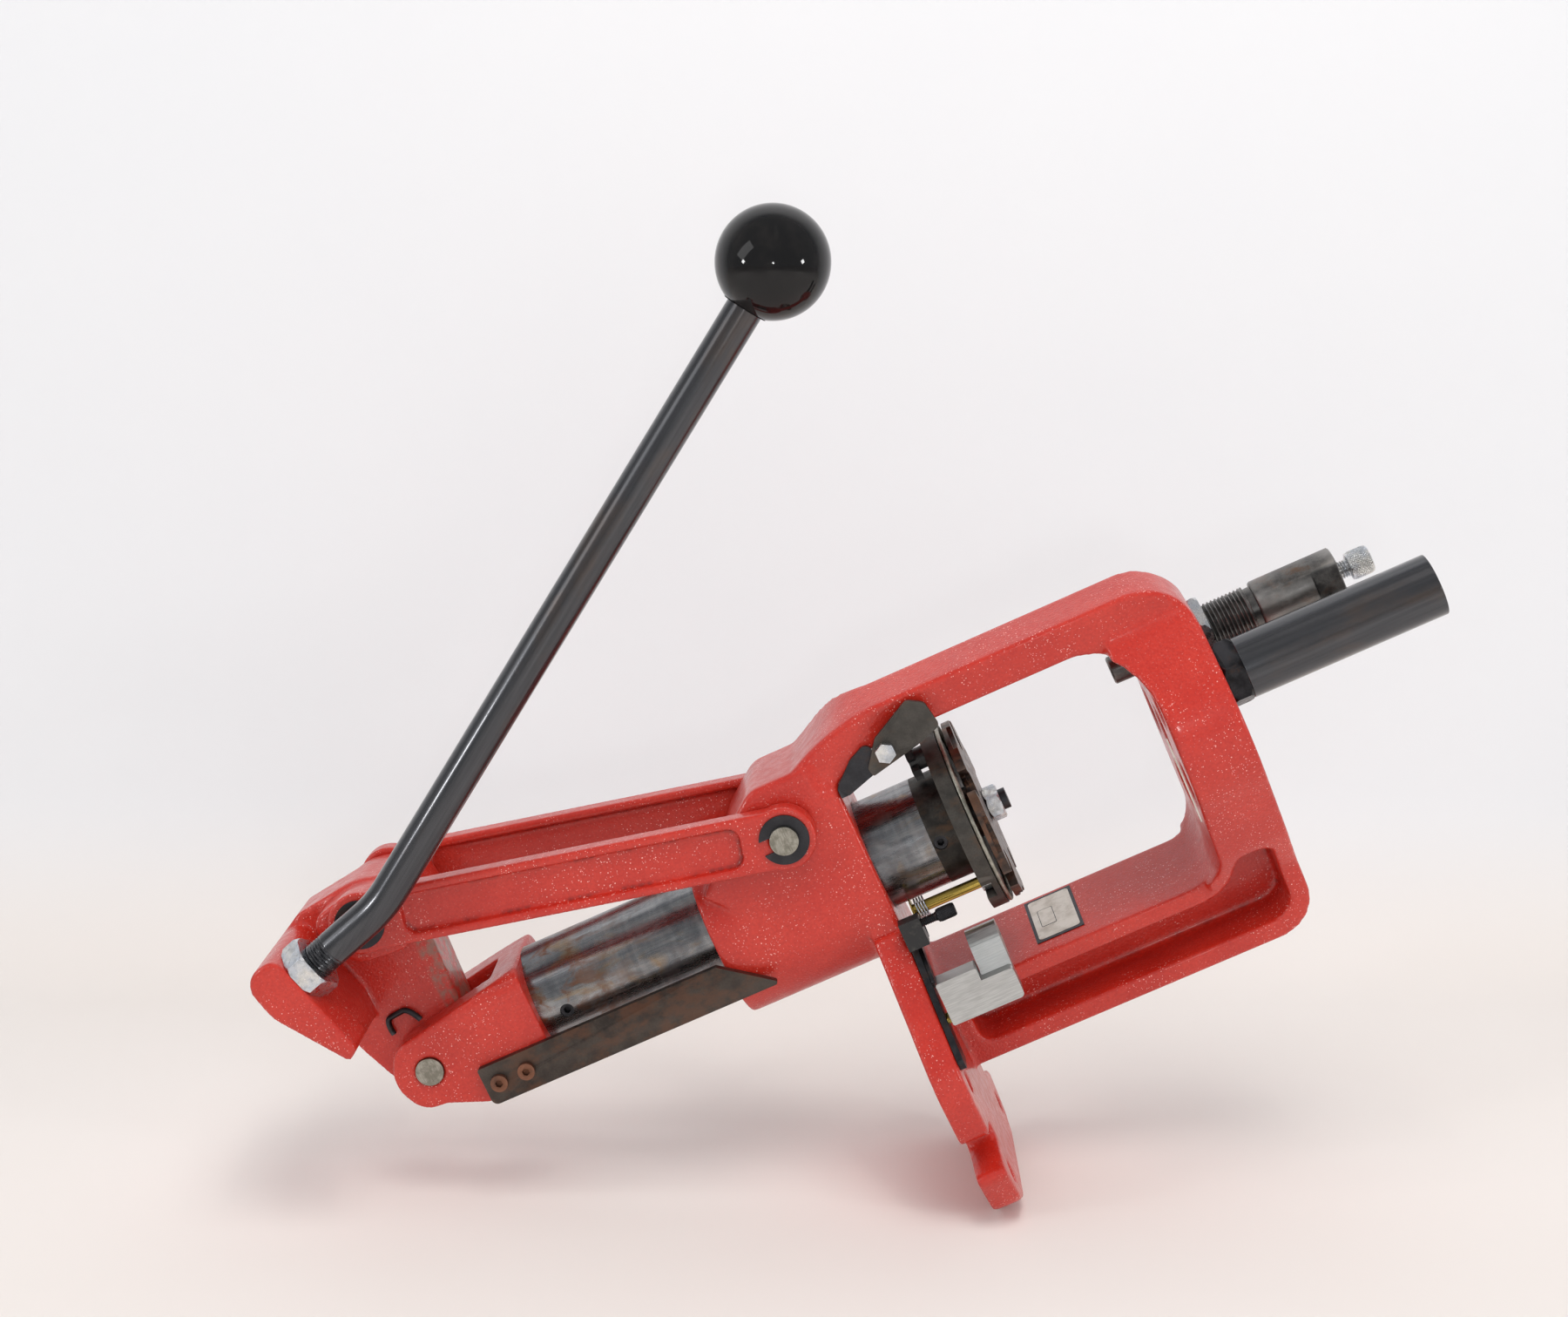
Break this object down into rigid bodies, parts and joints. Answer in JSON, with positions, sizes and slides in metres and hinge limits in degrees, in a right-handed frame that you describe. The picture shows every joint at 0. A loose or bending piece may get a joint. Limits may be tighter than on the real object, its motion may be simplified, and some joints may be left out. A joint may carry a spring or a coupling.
{
  "type": "bench-mounted lever press",
  "caption": "Bench press with an open O-shaped frame, a ram raised by a lever and toggle links, a turning shell plate and tool stations in the head.",
  "frame": {"origin": "middle of the two rear bench bolts, at the flange's underside", "axes": "+Z along the ram upwards, +X over the bench away from the operator, -Y the side of the handle"},
  "size_m": [0.4446, 0.1468, 0.5319],
  "materials": {
    "red_casting": "wrinkled powder coat with fine bright specks",
    "oiled_steel": "turned steel, oil stained and worn",
    "blued_steel": "black oxide, rubbed at the edges",
    "plate_steel": "rough sawn and darkened, traces of rust",
    "pin_steel": "ground pin, tarnished",
    "zinc_steel": "bright zinc plate",
    "handle_steel": "black oxide, satin, lightly scratched",
    "ball_plastic": "glossy black",
    "brass": "oiled brass",
    "aluminium": "sawn and milled, brushed",
    "black_plastic": "dark moulded nylon",
    "label_metal": "thin blank plate with a dark edge"
  },
  "bodies": {
    "frame": {"frame_casting": "red_casting", "link_pivot_pin": "pin_steel", "link_pivot_rings": "blued_steel", "cam_plate": "plate_steel", "cam_bracket": "blued_steel", "cam_bolt": "zinc_steel", "feed_slide": "blued_steel", "slide_housing": "black_plastic", "thumb_screw": "blued_steel", "feed_block": "aluminium", "feed_block_posts": "brass", "name_plate": "label_metal", "head_strip": "label_metal", "die_lock_nut": "zinc_steel", "die_body": "plate_steel", "die_stem": "zinc_steel", "die_knob": "zinc_steel", "tube_base": "blued_steel", "shield_tube": "handle_steel"},
    "ram": {"ram": "oiled_steel", "ram_set_screws": "blued_steel", "ram_clevis": "red_casting", "clevis_bolt": "blued_steel", "clevis_pin": "pin_steel", "guide_bar": "plate_steel", "guide_bar_screws": "blued_steel", "subplate": "plate_steel", "shell_retainer": "zinc_steel", "centre_stud": "blued_steel", "centre_nut": "zinc_steel", "punch_rod": "brass", "punch_spring": "zinc_steel", "spring_washer": "brass", "punch_collar": "zinc_steel"},
    "lever": {"lever_block": "red_casting", "handle_rod": "handle_steel", "handle_jam_nut": "zinc_steel", "ball_knob": "ball_plastic", "hairpin_clip": "blued_steel", "toggle_pin": "pin_steel"},
    "links": {"near_link": "red_casting", "far_link": "red_casting", "toggle_pin_ends": "pin_steel", "toggle_rings": "blued_steel"},
    "shell_plate": {"shell_plate": "blued_steel"},
    "index_wheel": {"index_wheel": "black_plastic"},
    "shuttle": {"shuttle": "blued_steel"}
  },
  "joints": [
    {"name": "ram_slide", "type": "slide", "parent": "frame", "child": "ram", "axis": [0, 0, 1], "range_m": [0, 0.0725]},
    {"name": "lever_swing", "type": "hinge", "parent": "ram", "child": "lever", "pos_m": [-0.144, 0, -0.2045], "axis": [0, -1, 0], "range_deg": [0, 74.19]},
    {"name": "link_swing", "type": "hinge", "parent": "frame", "child": "links", "pos_m": [-0.179, 0, -0.015], "axis": [0, -1, 0], "range_deg": [0, 15.4]},
    {"name": "shell_plate_turn", "type": "hinge", "parent": "ram", "child": "shell_plate", "pos_m": [-0.146, 0, 0.0665], "axis": [0, 0, 1], "continuous": true},
    {"name": "index_wheel_turn", "type": "hinge", "parent": "ram", "child": "index_wheel", "pos_m": [-0.1806, -0.00992, 0.05], "axis": [0, 0, 1], "continuous": true},
    {"name": "shuttle_slide", "type": "slide", "parent": "frame", "child": "shuttle", "axis": [0.7953, -0.6062, 0], "range_m": [0, 0.013]}
  ],
  "couplings": [
    {"joint": "ram_slide", "follows": "lever_swing", "m_per_rad": 0.055991},
    {"joint": "link_swing", "follows": "lever_swing", "ratio": 0.20764}
  ]
}
